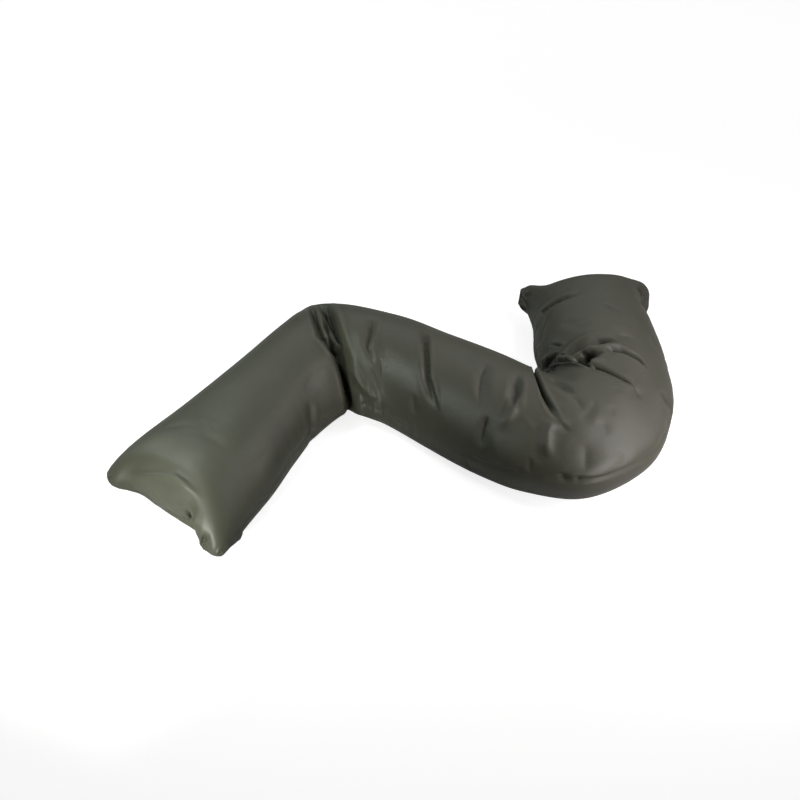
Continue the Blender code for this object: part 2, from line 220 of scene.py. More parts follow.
# The large folds, which the cloth makes where the bag is bent, in millimetres. A negative depth is a ridge.
# Each path is two to four places: how far along the crown, then -1 at the far seam, 0 on the crown, 1 at the
# near seam. A fold may be steeper on one side, and it rises and fades over a share of its path.
Fold = namedtuple("Fold", "name depth width path steep rise fade", defaults=(0.0, 0.4, 0.4))
large_folds = (
    Fold("end arc", -10, 10, ((-14, -0.55), (0, -0.2), (32, 0.1), (34, 0.42)), rise=0.3, fade=0.3),
    Fold("end pucker", 10, 12, ((12, 0.28), (-30, 0.25), (-100, 0.21)), fade=0.1),
    Fold("end roll", -6, 10, ((10, 0.35), (-30, 0.34), (-100, 0.32)), fade=0),
    Fold("ear pinch", 10, 10, ((-2, 0.6), (-40, 0.54), (-100, 0.48)), fade=0.2),
    Fold("leg crease", 17, 9,
         ((549, -0.56), (533, -0.2), (523, 0.1), (550, 0.36)), steep=-0.3, rise=0.25, fade=0.1),
    Fold("fold valley", 36, 13, ((541, 0.12), (563, 0.34), (565, 0.62), (566, 1)), rise=0.3, fade=0),
    Fold("middle crease", 26, 11,
         ((583, -0.62), (580, -0.2), (578, 0.1), (577, 0.32)), steep=0.3, rise=0.3, fade=0.2),
    Fold("fold pocket", 15, 9, ((568, -0.12), (557, 0.03), (557, 0.18), (568, 0.29)), rise=0.3, fade=0.3),
    Fold("crook face", 8, 22, ((578, 0.6), (597, 0.82), (612, 1)), fade=0),
    Fold("ridge from the fold", -8, 12, ((559, 0.42), (583, 0.54), (612, 0.73), (690, 0.84)), rise=0.3),
    Fold("leg side wrinkle", 7, 12, ((436, 0.6), (421, 1)), rise=0.5, fade=0),
    Fold("first wrinkle", 8, 11, ((669, -0.25), (660, 0.1), (648, 0.28), (667, 0.47)), steep=0.4),
    Fold("second wrinkle", 10, 11, ((774, -0.36), (798, 0), (819, 0.33), (868, 0.65)), steep=0.5, rise=0.3),
    Fold("third wrinkle", 6, 13, ((941, -0.28), (939, 0.05), (957, 0.43))),
    Fold("fourth wrinkle", 9, 13, ((1010, -0.22), (1021, 0.02), (1022, 0.28)), steep=0.4, fade=0.3),
    Fold("near wrinkle", 6, 11, ((978, 0.34), (976, 0.58), (980, 0.82))),
    Fold("wrinkle ridge", -6, 11, ((1036, 0.02), (1020, 0.28), (1000, 0.54))),
    Fold("crook slit", 10, 7,
         ((1052, -0.95), (1061, -0.34), (1074, -0.12), (1101, 0.32)), steep=0.6, rise=0.2, fade=0.2),
    Fold("bend ridge", -2.5, 7, ((1089, 0.22), (1080, 0.38), (1079, 0.54), (1083, 0.76)), rise=0.2),
    Fold("lobe wrinkle", 5, 12, ((1084, -0.3), (1116, -0.18), (1152, 0.04)), rise=0.3, fade=0.5),
    Fold("bend wrinkle", 3, 16, ((1140, 0.34), (1128, 0.66), (1118, 0.96)), rise=0.5, fade=0.5),
    Fold("crook valley", 38, 14,
         ((1310, -1), (1258, -0.74), (1228, -0.52), (1238, -0.16)), steep=-0.6, rise=0.1, fade=0.2),
    Fold("bend slit", 5, 8,
         ((1237, -0.2), (1245, -0.04), (1252, 0.15), (1258, 0.32)), steep=-0.4, rise=0.1, fade=0.3),
    Fold("crook pocket", 34, 12, ((1246, -0.4), (1272, -0.29), (1312, -0.15)), rise=0.1),
    Fold("limb valley", 18, 12,
         ((1256, -0.54), (1312, -0.32), (1352, -0.08), (1378, 0.16)), steep=-0.4, rise=0.2),
    Fold("limb hollow", 16, 12, ((1322, -1), (1306, -0.75), (1285, -0.58)), rise=0.1),
    Fold("flap crease", 10, 10,
         ((1320, -0.04), (1332, 0.12), (1332, 0.26), (1322, 0.44)), steep=-0.6, rise=0.2),
    Fold("limb crease", 4, 14, ((1376, 0), (1392, 0.14), (1400, 0.36))),
    Fold("far crease", 10, 10,
         ((1470, -0.88), (1533, -0.71), (1544, -0.46), (1553, -0.12)), steep=0.4, rise=0.3),
)
core_height = 0.4            # of the crown's: a fold moves the cloth toward this core
under_fold = 0.050           # how far a fold at the seam runs on below it
fold_power = 1.7
shoulder = 0.18              # how high the cloth rises beside a fold, as a share of its depth
shoulder_at = 2.0            # in widths of the fold
shoulder_width = 0.8
path_edge = 0.001
tiny = 1e-9                  # keeps a division from nought


def smooth(values, knots, at):
    """A smooth curve through values at the knots, with each slope taken from the two neighbours."""
    shape = (-1,) + (1,) * (values.ndim - 1)
    gap = np.diff(knots).reshape(shape)
    chord = np.diff(values, axis=0) / gap
    slope = np.empty_like(values)
    slope[1:-1] = (chord[:-1] * gap[1:] + chord[1:] * gap[:-1]) / (gap[:-1] + gap[1:])
    slope[0], slope[-1] = chord[0], chord[-1]
    i = np.clip(np.searchsorted(knots, at, side="right") - 1, 0, len(knots) - 2)
    gap = gap[i]
    t = (at - knots[i]).reshape(shape) / gap
    return ((1 + 2 * t) * (1 - t) ** 2 * values[i] + t * (1 - t) ** 2 * gap * slope[i]
            + t * t * (3 - 2 * t) * values[i + 1] - t * t * (1 - t) * gap * slope[i + 1])


def stations(fineness, end_rows):
    """The distance of every cross-section along the bag's middle, and each rib column there."""
    column = {field: np.array([getattr(rib, field) for rib in ribs]) for field in Rib._fields[1:-1]}
    column.update((field, column[field] / metre) for field in Rib._fields[1:rib_lengths + 1])
    middle_x = (column["far_x"] + column["near_x"]) / 2
    middle_y = (column["far_y"] + column["near_y"]) / 2
    knots = np.concatenate([[0], np.cumsum(np.hypot(np.diff(middle_x), np.diff(middle_y)))])
    between = np.concatenate([np.linspace(knots[i], knots[i + 1], fineness * rib.strips, endpoint=False)
                              for i, rib in enumerate(ribs[:-1])])
    closer = 1 - np.cos(np.linspace(0, pi / 2, end_rows))
    left_rows = ends[0].round * closer
    far_rows = knots[-1] - ends[1].round * closer[::-1]
    between = between[(between > left_rows[-1] + row_gap) & (between < far_rows[0] - row_gap)]
    along = np.concatenate([left_rows, between, far_rows])
    return along, {field: smooth(column[field], knots, along)[:, None] for field in column}


def ramp(value, low, high):
    """A soft step from 0 at the low value to 1 at the high one."""
    t = np.clip((value - low) / (high - low), 0, 1)
    return t * t * (3 - 2 * t)


def end_shape(end, to_end, side):
    """How full the bag is near an end, how far its seam dips, and how far each panel lies ahead of it."""
    near_end = np.clip(1 - to_end / end.round, 0, 1)
    closing = (1 - near_end ** end.closing) ** 0.5
    ears = np.where(side < 0, ramp(-side, end.far_ear, end.far_ear_full),
                    ramp(side, end.near_ear, end.near_ear_full))
    dip = end.dip * near_end * (1 - ears)
    seam_ahead = -end.drawn_in * near_end ** 2 * (1 - ears)
    upper_ahead = seam_ahead + end.belly * 4 * closing * (1 - closing) * (1 - ears)
    lower_ahead = seam_ahead - (end.tuck + end.ear_tuck * ears) * near_end * (1 - near_end ** tuck_power)
    return closing, dip, upper_ahead, lower_ahead


def bag(along, rib, across):
    """The points of both panels: rows along the bag, columns from the far seam to the near seam."""
    side = np.sin(pi / 2 * across)[None, :]
    half_width = np.hypot(rib["near_x"] - rib["far_x"], rib["near_y"] - rib["far_y"]) / 2
    from_left = along[:, None]
    to_end = np.minimum(from_left, along[-1] - from_left)
    at_left = from_left < along[-1] / 2
    closing, dip, upper_ahead, lower_ahead = (
        np.where(at_left, left, far)
        for left, far in zip(*(end_shape(end, to_end, side) for end in ends)))
    leaning = side - rib["lean"] * (1 - side ** 2)
    fullness = np.maximum(1 - np.abs(leaning) ** rib["boxy"], 0) ** seam_point * closing

    # Each corner's square of cloth becomes a quarter disc, which rounds the ear
    end_part = np.clip(1 - to_end / ear_radius, 0, 1)
    side_part = np.clip(1 - (1 - np.abs(side)) * half_width / ear_radius, 0, 1)
    back = ear_radius * end_part * (1 - np.sqrt(1 - side_part ** 2 / 2))
    inward = ear_radius * side_part * (1 - np.sqrt(1 - end_part ** 2 / 2))
    edge = np.sign(side) / half_width
    place = side * (1 - seam_inset / half_width) - inward * edge

    # The lower panel swells out between the seam and the floor
    seam = rib["far_seam"] + (rib["near_seam"] - rib["far_seam"]) * (1 + side) / 2 - dip
    lowered = np.clip(fullness * (seam + sag) / seam, 0, 1)
    swell = lower_swell * seam * np.sin(pi * lowered ** swell_power) * closing
    lower_place = place + edge * swell

    ahead_x = np.gradient((rib["far_x"] + rib["near_x"])[:, 0], along)[:, None]
    ahead_y = np.gradient((rib["far_y"] + rib["near_y"])[:, 0], along)[:, None]
    length = np.hypot(ahead_x, ahead_y) * np.where(at_left, -1, 1)

    def laid(place, ahead, height):
        """Points at a share of the width, moved ahead along the bag, at a height."""
        x = rib["far_x"] + (rib["near_x"] - rib["far_x"]) * (1 + place) / 2 + ahead_x / length * ahead
        y = rib["far_y"] + (rib["near_y"] - rib["far_y"]) * (1 + place) / 2 + ahead_y / length * ahead
        return np.stack([x, y, height], axis=-1)

    top = laid(place, upper_ahead - back, seam + (rib["crown"] - seam) * fullness)
    bottom = laid(lower_place, lower_ahead - back, np.maximum(seam - (seam + sag) * fullness, 0))
    return top, bottom


def distances_along(points):
    """How far every point lies along its line, or along its column of a grid, from the first one."""
    steps = np.linalg.norm(np.diff(points, axis=0), axis=-1)
    return np.concatenate([np.zeros_like(steps[:1]), np.cumsum(steps, axis=0)])


def cloth_length(along, top):
    """Metres of cloth along the crown at every cross-section, over the steep faces of both ends too."""
    reach = distances_along(top[:, top.shape[1] // 2])
    left = np.argmin(np.abs(along - ends[0].round))
    far = np.argmin(np.abs(along - along[-1] + ends[1].round))
    cloth = along.copy()
    cloth[:left] = along[left] - reach[left] + reach[:left]
    cloth[far:] = along[far] - reach[far] + reach[far:]
    return cloth


def beside_path(fold, cloth, across):
    """For every place on the cloth: how far it lies from a fold's path, on which side, how strong the fold
    is there, and the direction across it."""
    here = np.stack(np.broadcast_arrays(cloth[:, None], across[None, :] * half_panel), axis=-1)
    path = np.array(fold.path) / (metre, 1) * (1, half_panel)
    reach = distances_along(path)
    nearest = np.full(here.shape[:2], np.inf)
    travelled = np.zeros(nearest.shape)
    right = np.zeros(here.shape)
    side = np.zeros(nearest.shape)
    for start, end, before, after in zip(path[:-1], path[1:], reach[:-1], reach[1:]):
        length = after - before
        t = np.clip((here - start) @ (end - start) / length ** 2, 0, 1)
        away = here - start - t[..., None] * (end - start)
        aside = np.linalg.norm(away, axis=-1)
        closer = aside < nearest
        travelled = np.where(closer, (before + t * length) / reach[-1], travelled)
        right = np.where(closer[..., None], np.array([end[1] - start[1], start[0] - end[0]]) / length, right)
        nearest = np.minimum(aside, nearest)
        side = np.where(closer, np.sign((away * right).sum(axis=-1)), side)
    strength = ramp(travelled, -path_edge, fold.rise) * (1 - ramp(travelled, 1 - fold.fade, 1 + path_edge))
    return nearest, side, strength, right


def fold_depth(cloth, across):
    """How deep the large folds lie at every place on the upper panel."""
    total = np.zeros((len(cloth), len(across)))
    for fold in large_folds:
        nearest, side, strength, right = beside_path(fold, cloth, across)
        steeper = np.where(side * fold.steep > 0, 1 - abs(fold.steep), 1)
        offset = nearest / (fold.width / metre * steeper)
        raised = shoulder * np.exp(-((offset - shoulder_at) / shoulder_width) ** 2)
        total += fold.depth / metre * (np.exp(-offset ** fold_power) - raised) * strength
    return total[..., None]


def folded_panels(fineness, end_rows, strips):
    """Both panels as grids of points, folded. A fold moves a point toward the core of its cross-section."""
    along, rib = stations(fineness, end_rows)
    across = np.linspace(-1, 1, strips + 1)
    top, bottom = bag(along, rib, across)
    core = np.concatenate([(rib["far_x"] + rib["near_x"]) / 2, (rib["far_y"] + rib["near_y"]) / 2,
                           rib["crown"] * core_height], axis=1)[:, None, :]
    cloth = cloth_length(along, top)
    depth = fold_depth(cloth, across)
    column = across[None, :, None]
    at_seam = np.where(column < 0, depth[:, :1], depth[:, -1:])
    under = at_seam * np.exp(-((1 - np.abs(column)) * half_panel / under_fold) ** 2)
    top = top + (core - top) / np.linalg.norm(core - top, axis=-1, keepdims=True) * depth
    level = (core - bottom) * (1, 1, 0)
    bottom = bottom + level / np.maximum(np.linalg.norm(level, axis=-1, keepdims=True), tiny) * under
    return cloth, across, top - box_middle, bottom - box_middle


# The small creases, in millimetres too and sharper than the folds they lie in. Where a crease has a lap, the
# cloth on the right of its path is pushed over it, or on the left where the lap is negative.
Crease = namedtuple("Crease", "name depth width path lap rise fade", defaults=(0.0, 0.3, 0.4))
creases = (
    Crease("leg crease", 6, 6,
           ((549, -0.5), (533, -0.2), (523, 0.1), (550, 0.36)), lap=-3, rise=0.2, fade=0.2),
    Crease("leg crease ridge", -3.5, 5, ((538, 0.04), (539, 0.17), (547, 0.28), (552, 0.36))),
    Crease("fold valley", 8, 7, ((541, 0.12), (563, 0.34), (565, 0.62), (566, 1)), lap=3, rise=0.2, fade=0),
    Crease("middle crease", 8, 6,
           ((583, -0.56), (580, -0.2), (578, 0.1), (577, 0.32)), lap=4, rise=0.2, fade=0.2),
    Crease("middle crease ridge", -3, 5, ((571, -0.2), (572, 0), (572, 0.17), (575, 0.27))),
    Crease("fold ridge", -3, 7, ((559, 0.44), (583, 0.54), (612, 0.73), (690, 0.84))),
    Crease("leg break", 2, 8, ((524, 0.38), (478, 0.42), (416, 0.51)), fade=0.5),
    Crease("first wrinkle", 4, 6, ((669, -0.18), (660, 0.1), (648, 0.28), (667, 0.47)), lap=3, rise=0.4),
    Crease("first wrinkle ridge", -2.5, 6, ((640, 0.38), (666, 0.53), (704, 0.78))),
    Crease("first low wrinkle", 3, 6, ((684, 0.32), (688, 0.58)), lap=2, rise=0.4),
    Crease("second wrinkle", 4, 6, ((774, -0.33), (798, 0), (819, 0.33), (868, 0.63)), lap=4),
    Crease("second wrinkle ridge", -2, 5, ((828, 0.21), (845, 0.4), (870, 0.57))),
    Crease("second low wrinkle", 3, 7, ((787, 0.54), (799, 0.8)), rise=0.4),
    Crease("third wrinkle", 3, 6, ((941, -0.23), (939, 0.05), (957, 0.41)), lap=2, rise=0.4),
    Crease("fourth wrinkle", 4, 6, ((1010, -0.15), (1021, 0.02), (1022, 0.26)), lap=3, rise=0.4, fade=0.3),
    Crease("fourth wrinkle ridge", -2.5, 5, ((1036, 0.02), (1020, 0.28), (1000, 0.54))),
    Crease("fifth wrinkle", 3, 6, ((1004, 0.14), (999, 0.42)), rise=0.4),
    Crease("near wrinkle", 4, 6, ((978, 0.38), (976, 0.58), (980, 0.8)), lap=2, rise=0.4),
    Crease("crook slit", 10, 5,
           ((1055, -0.7), (1061, -0.34), (1074, -0.12), (1095, 0.24)), lap=12, rise=0.2, fade=0.3),
    Crease("crook slit ridge", -2, 6, ((1095, 0.22), (1116, 0.34))),
    Crease("crook slit tail", 3, 6, ((1100, 0.28), (1110, 0.37))),
    Crease("sixth wrinkle ridge", -2, 6, ((1039, 0.26), (1063, 0.43))),
    Crease("lobe wrinkle", 3.5, 6, ((1084, -0.29), (1114, -0.18), (1148, 0.02)), fade=0.5),
    Crease("bend ridge", -3.5, 5, ((1090, 0.26), (1080, 0.39), (1079, 0.54), (1082, 0.68)), rise=0.2),
    Crease("bend wrinkle", 1.8, 6, ((1131, 0.46), (1121, 0.86))),
    Crease("bend hook", 1.4, 5, ((1150, 0.56), (1170, 0.68), (1173, 0.8), (1156, 0.9)), rise=0.4),
    Crease("crook valley", 9, 7,
           ((1250, -0.78), (1224, -0.57), (1230, -0.36), (1236, -0.18)), lap=-8, rise=0.1, fade=0.1),
    Crease("bend slit", 9, 5,
           ((1237, -0.16), (1245, -0.04), (1252, 0.15), (1258, 0.31)), lap=-6, rise=0.1, fade=0.3),
    Crease("bend slit tail", 3, 6, ((1257, 0.28), (1249, 0.42)), fade=0.5),
    Crease("limb valley", 6, 6, ((1256, -0.5), (1312, -0.3), (1352, -0.08), (1376, 0.14)), lap=-6, rise=0.2),
    Crease("limb lip", -6, 5, ((1236, -0.48), (1278, -0.35), (1322, -0.18), (1334, -0.06)), fade=0.3),
    Crease("crook pocket", 16, 9, ((1252, -0.38), (1274, -0.29), (1302, -0.18)), rise=0.2, fade=0.3),
    Crease("flap edge", 8, 8, ((1240, -0.2), (1280, -0.13), (1312, -0.06)), lap=-6, rise=0.2, fade=0.2),
    Crease("flap crease", 7, 6,
           ((1318, -0.06), (1332, 0.12), (1332, 0.26), (1324, 0.42)), lap=-6, rise=0.2, fade=0.3),
    Crease("limb hollow", 6, 6, ((1324, -0.96), (1312, -0.75), (1292, -0.6)), rise=0.1),
    Crease("first pleat", 4, 6, ((1350, -0.72), (1342, -0.5)), lap=-3),
    Crease("first pleat ridge", -3, 5, ((1334, -0.88), (1315, -0.64), (1323, -0.5))),
    Crease("second pleat", 4, 6, ((1266, -0.66), (1296, -0.48)), lap=-3),
    Crease("second pleat ridge", -3, 5, ((1253, -0.69), (1278, -0.5), (1305, -0.43))),
    Crease("soft pleat", 1.2, 7, ((1226, 0.12), (1213, 0.18)), rise=0.4, fade=0.5),
    Crease("soft low pleat", 1, 7, ((1192, 0.22), (1178, 0.32)), rise=0.4, fade=0.5),
    Crease("soft left pleat", 1, 7, ((1170, 0.1), (1160, 0.18)), rise=0.4, fade=0.5),
    Crease("limb crease", 2.5, 7, ((1380, 0.02), (1392, 0.14), (1400, 0.3)), rise=0.4),
    Crease("far crease", 5, 5, ((1482, -0.84), (1533, -0.71), (1544, -0.46), (1553, -0.16)), lap=4),
    Crease("limb left crease", 4, 7, ((1396, -0.84), (1450, -0.74), (1520, -0.58))),
    Crease("far ear crease", 5, 6, ((1652, -0.94), (1640, -0.66)), fade=0.3),
    Crease("right ear crease", 9, 6, ((1640, 0.62), (1646, 0.78), (1640, 0.96)), fade=0.3),
    Crease("limb short crease", 1.5, 7, ((1444, -0.48), (1432, -0.3), (1425, -0.12)), rise=0.4),
    Crease("limb middle crease", 2, 8, ((1447, -0.5), (1412, -0.29), (1416, -0.08)), rise=0.4),
    Crease("limb soft crease", 2.5, 10, ((1508, 0.02), (1474, 0.23)), rise=0.4),
    Crease("limb top crease", 2, 7, ((1541, -0.33), (1562, -0.17), (1552, -0.05)), rise=0.4),
    Crease("limb low left crease", 3, 7, ((1374, -0.67), (1339, -0.52), (1347, -0.38))),
    Crease("limb right crease", 2.5, 8, ((1457, 0.55), (1398, 0.57)), rise=0.4),
    Crease("first lobe crease", 2.5, 7, ((1119, -0.04), (1138, 0.05), (1145, 0.2)), rise=0.4, fade=0.5),
    Crease("second lobe crease", 2, 8, ((1127, 0.25), (1148, 0.2), (1174, 0.11)), rise=0.4, fade=0.5),
    Crease("third lobe crease", 2, 8, ((1152, 0.29), (1163, 0.36), (1163, 0.49)), rise=0.4, fade=0.5),
    Crease("leg crown crease", 1.8, 14, ((258, 0.1), (319, 0.2), (381, 0.34)), rise=0.5, fade=0.5),
    Crease("leg low crease", 2.2, 14, ((136, -0.05), (146, 0.15), (149, 0.35)), rise=0.5, fade=0.5),
    Crease("leg near crease", 2, 14, ((117, 0.47), (179, 0.58), (245, 0.62)), rise=0.5, fade=0.5),
    Crease("leg far crease", 1.8, 12, ((104, -0.4), (132, -0.25), (152, -0.08)), rise=0.5, fade=0.5),
    Crease("middle soft crease", 1.6, 12, ((856, -0.13), (898, -0.06), (942, 0.08)), rise=0.5, fade=0.5),
    Crease("seam tuck", 5, 5, ((1095, 0.84), (1099, 0.92), (1100, 1)), rise=0.4, fade=0),
    Crease("seam roll", -3, 5, ((1107, 0.84), (1110, 0.92), (1110, 1)), rise=0.4, fade=0),
    Crease("second seam tuck", 4, 5, ((1116, 0.88), (1114, 1)), rise=0.4, fade=0),
    Crease("third seam tuck", 1.2, 5, ((1046, 0.86), (1044, 1)), rise=0.4, fade=0),
    Crease("fourth seam tuck", 1.2, 5, ((1008, 0.84), (1002, 1)), rise=0.4, fade=0),
    Crease("end arc", -2.2, 7, ((-12, -0.5), (0, -0.2), (32, 0.1), (36, 0.4)), fade=0.3),
    Crease("end pucker", 24, 12, ((14, 0.27), (-30, 0.25), (-90, 0.21)), rise=0.5, fade=0.1),
    Crease("end roll", -10, 10, ((16, 0.38), (-30, 0.36), (-90, 0.33)), fade=0.1),
    Crease("ear pinch", 10, 7, ((-4, 0.59), (-40, 0.54), (-90, 0.49)), rise=0.4, fade=0.3),
    Crease("end small crease", 5, 8, ((-86, -0.26), (-4, -0.14))),
    Crease("end middle pucker", 4, 7, ((-30, 0.02), (-96, -0.02)), rise=0.5, fade=0.1),
    Crease("far ear fold", 3, 6, ((-60, -0.92), (-30, -0.72), (-16, -0.52)), rise=0.2),
)
crease_round = 0.0016
lap_reach = 0.012
lap_lift = 0.25              # of the lap


def facing(points, cloth, across):
    """The directions along, across and out of a panel at each of its points."""
    ahead = np.gradient(points, cloth, axis=0)
    aside = np.gradient(points, across * half_panel, axis=1)
    ways = (ahead, aside, np.cross(aside, ahead))
    return [way / np.maximum(np.linalg.norm(way, axis=-1, keepdims=True), tiny) for way in ways]


def creased(points, cloth, across):
    """The upper panel with its small creases."""
    ahead, aside, out = facing(points, cloth, across)
    moved = points.copy()
    for crease in creases:
        nearest, side, strength, right = beside_path(crease, cloth, across)
        depth, width, lap = crease.depth / metre, crease.width / metre, crease.lap / metre
        sunk = depth * np.exp((crease_round - np.hypot(nearest, crease_round)) / width)
        way = np.sign(lap)
        over = np.zeros_like(nearest)
        if lap:
            over = ramp(side * nearest * way, -crease_round, crease_round)
        push = abs(lap) * over * np.exp(-nearest / lap_reach)
        rightwards = right[..., :1] * ahead + right[..., 1:] * aside
        lowered = sunk * (1 - over) - lap_lift * push
        moved -= strength[..., None] * (lowered[..., None] * out + way * push[..., None] * rightwards)
    return moved


def seam_distance(grid):
    """Metres along the cloth from the far seam, the near seam, the left end's seam and the far end's seam."""
    from_far = distances_along(grid.swapaxes(0, 1)).T
    from_left = distances_along(grid)
    return from_far, from_far[:, -1:] - from_far, from_left, from_left[-1:] - from_left


def hump(value, middle, width):
    """A soft bump: 1 in the middle, next to nothing two widths away."""
    return np.exp(-((value - middle) / width) ** 2)


# The filling presses the cloth out between its folds and seams. A cloth simulation of a coarser bag gives the
# push, and only its small forms are kept: the blurred push is taken off, and the rest is made stronger.
# Spare cloth along the seams and in both crooks changes the push a little.
seam_slack = 0.05
seam_slack_reach = 0.05
fold_slack = 0.045
fold_slack_place = (0.57, 0.07)                       # its middle and its reach along the cloth
fold_slack_rise = (-0.3, 1.0)                         # across the cloth, from none to all of it
crook_slack = 0.10
crook_slack_places = ((1.06, 0.06), (1.28, 0.10))
crook_slack_rise = (-0.2, 1.0)
simulated_frames = 20
pleat_blur = 5 * 2 ** 0.5    # rows and columns of the coarser bag
pleat_cap = 0.012
pleat_gain = 1.6
resting_below = 0.0005       # cloth as low as this lies on the floor and is held
seam_hold = 0.3
seam_hold_reach = 0.004
cloth_values = {
    "quality": 5, "mass": 0.3, "air_damping": 2, "pin_stiffness": 1,
    "tension_stiffness": 20, "compression_stiffness": 20, "shear_stiffness": 10, "bending_stiffness": 5,
    "tension_damping": 5, "compression_damping": 5, "shear_damping": 5, "bending_damping": 0.5,
    "use_pressure": True, "uniform_pressure_force": 5,
}


def spare_cloth(grid, cloth, across, upper_panel):
    """How much longer than its place the cloth is, as a share."""
    a, c = cloth[:, None], across[None, :]
    slack = seam_slack * hump(np.minimum.reduce(seam_distance(grid)), 0, seam_slack_reach)
    if upper_panel:
        slack = slack + fold_slack * hump(a, *fold_slack_place) * ramp(c, *fold_slack_rise)
        in_crook = sum(hump(a, *place) for place in crook_slack_places)
        slack = slack + crook_slack * in_crook * ramp(-c, *crook_slack_rise)
    return slack


def evened(values, gaps, reach):
    """Values evened out with those of the rows near them."""
    shares = np.exp(-(gaps / reach) ** 2)
    return np.tensordot(shares / shares.sum(axis=1, keepdims=True), values, axes=(1, 0))


def blurred(ring):
    """A ring of cloth evened out along the bag and round it."""
    rows, columns = np.arange(len(ring)), np.arange(ring.shape[1])
    gaps = np.abs(columns[:, None] - columns)
    gaps = np.minimum(gaps, len(columns) - gaps)
    along = evened(ring, rows[:, None] - rows, pleat_blur)
    return evened(along.swapaxes(0, 1), gaps, pleat_blur).swapaxes(0, 1)


def sew(cloth, across, top, bottom):
    """One closed mesh of both panels, which share the seam's points. The lower may have fewer columns."""
    rows, columns = top.shape[:2]
    step = (columns - 1) // (bottom.shape[1] - 1)
    upper = np.arange(rows * columns).reshape(rows, columns)
    lower = upper[:, ::step].copy()
    inside = lower[1:-1, 1:-1]
    lower[1:-1, 1:-1] = np.arange(inside.size).reshape(inside.shape) + rows * columns
    points = np.concatenate([top.reshape(-1, 3), bottom[1:-1, 1:-1].reshape(-1, 3)])
    flat = np.stack(np.broadcast_arrays(cloth[:, None], across[None, :] * half_panel), axis=-1)
    flat = np.concatenate([flat.reshape(-1, 2), flat[:, ::step][1:-1, 1:-1].reshape(-1, 2)])
    faces = [(upper[i, j], upper[i, j + 1], upper[i + 1, j + 1], upper[i + 1, j])
             for i in range(rows - 1) for j in range(columns - 1)]
    for i in range(rows - 1):
        for j in range(lower.shape[1] - 1):
            first = [lower[i, j], lower[i, j + 1]]
            second = [lower[i + 1, j], lower[i + 1, j + 1]]
            if i == 0:
                first = list(upper[i, step * j:step * (j + 1) + 1])
            if i == rows - 2:
                second = list(upper[i + 1, step * j:step * (j + 1) + 1])
            faces.append(tuple(second + first[::-1]))
    mesh = bpy.data.meshes.new("bag")
    mesh.from_pydata(points.tolist(), [], [tuple(int(k) for k in face) for face in faces])
    layer = mesh.uv_layers.new(name="cloth")
    corners = np.empty(len(mesh.loops), dtype=np.int32)
    mesh.loops.foreach_get("vertex_index", corners)
    layer.uv.foreach_set("vector", flat[corners].astype(np.float32).ravel())
    return mesh, upper, lower


def pressed_out(mesh, slack, hold):
    """How far the filling's pressure moves every point of a bag, with its spare cloth and its hold given."""
    trial = put_in("trial", mesh)
    for name, values in (("slack", slack / slack.max()), ("hold", hold)):
        group = trial.vertex_groups.new(name=name)
        for index, value in enumerate(values):
            group.add([index], float(value), "REPLACE")
    modifier = trial.modifiers.new("cloth", "CLOTH")
    for name, value in cloth_values.items():
        setattr(modifier.settings, name, value)
    modifier.settings.vertex_group_mass = "hold"
    modifier.settings.vertex_group_shrink = "slack"
    modifier.settings.shrink_max = -slack.max()
    modifier.settings.effector_weights.gravity = 0
    modifier.collision_settings.use_collision = False
    modifier.collision_settings.use_self_collision = False
    modifier.point_cache.frame_start, modifier.point_cache.frame_end = 1, simulated_frames
    for number in range(1, simulated_frames + 1):
        scene.frame_set(number)
    pressed = trial.evaluated_get(bpy.context.evaluated_depsgraph_get()).to_mesh()
    before = np.empty(len(mesh.vertices) * 3)
    after = before.copy()
    mesh.vertices.foreach_get("co", before)
    pressed.vertices.foreach_get("co", after)
    bpy.data.objects.remove(trial)
    scene.frame_set(1)
    return (after - before).reshape(-1, 3)


def pleats(cloth, across, top, bottom):
    """How far the small forms of the pressed cloth move each point of both panels of the coarser bag."""
    mesh, upper, lower = sew(cloth, across, top, bottom)
    slack = np.zeros(len(mesh.vertices))
    hold = np.zeros(len(mesh.vertices))
    slack[lower] = spare_cloth(bottom, cloth, across, False)
    slack[upper] = spare_cloth(top, cloth, across, True)
    hold[lower] = np.where(bottom[..., 2] < resting_below, 1.0, 0.0)
    hold[upper] = seam_hold * hump(np.minimum.reduce(seam_distance(top)), 0, seam_hold_reach)
    ring = pressed_out(mesh, slack, hold)[np.concatenate([upper, lower[:, -2:0:-1]], axis=1)]
    bpy.data.meshes.remove(mesh)
    small = ring - blurred(ring)
    size = np.linalg.norm(small, axis=-1, keepdims=True)
    small *= pleat_gain * pleat_cap * np.tanh(size / pleat_cap) / np.maximum(size, tiny)
    columns = len(across)
    far_seam, near_seam = small[:, :1], small[:, columns - 1:columns]
    return small[:, :columns], np.concatenate([far_seam, small[:, columns:][:, ::-1], near_seam], axis=1)


def spread(values, cloth, across, fine_cloth, fine_across):
    """Values on the coarser grid, read smoothly at the finer one."""
    along_rows = smooth(values, cloth, np.clip(fine_cloth, cloth[0], cloth[-1]))
    return smooth(along_rows.swapaxes(0, 1), across, fine_across).swapaxes(0, 1)


# The seam: the panels are sewn face to face and turned, so it lies in a groove, and the sewing draws the
# cloth beside it into short puckers. It is pulled in deepest round the bend.
groove_depth = 0.0006
groove_width = 0.0035
bend_groove = 0.0004
bend_groove_at = 1.08
bend_groove_reach = 0.10
pucker_height = 0.0010
pucker_reach = 0.012
pucker_gap = 0.030
pucker_range = (0.5, 1.8)        # the shortest and the longest wave, in gaps
pucker_waves = 9
side_seeds = (1, 2)              # of the waves beside the far and the near seam
end_seeds = (3, 4)               # of the waves beside the left and the far end's seam


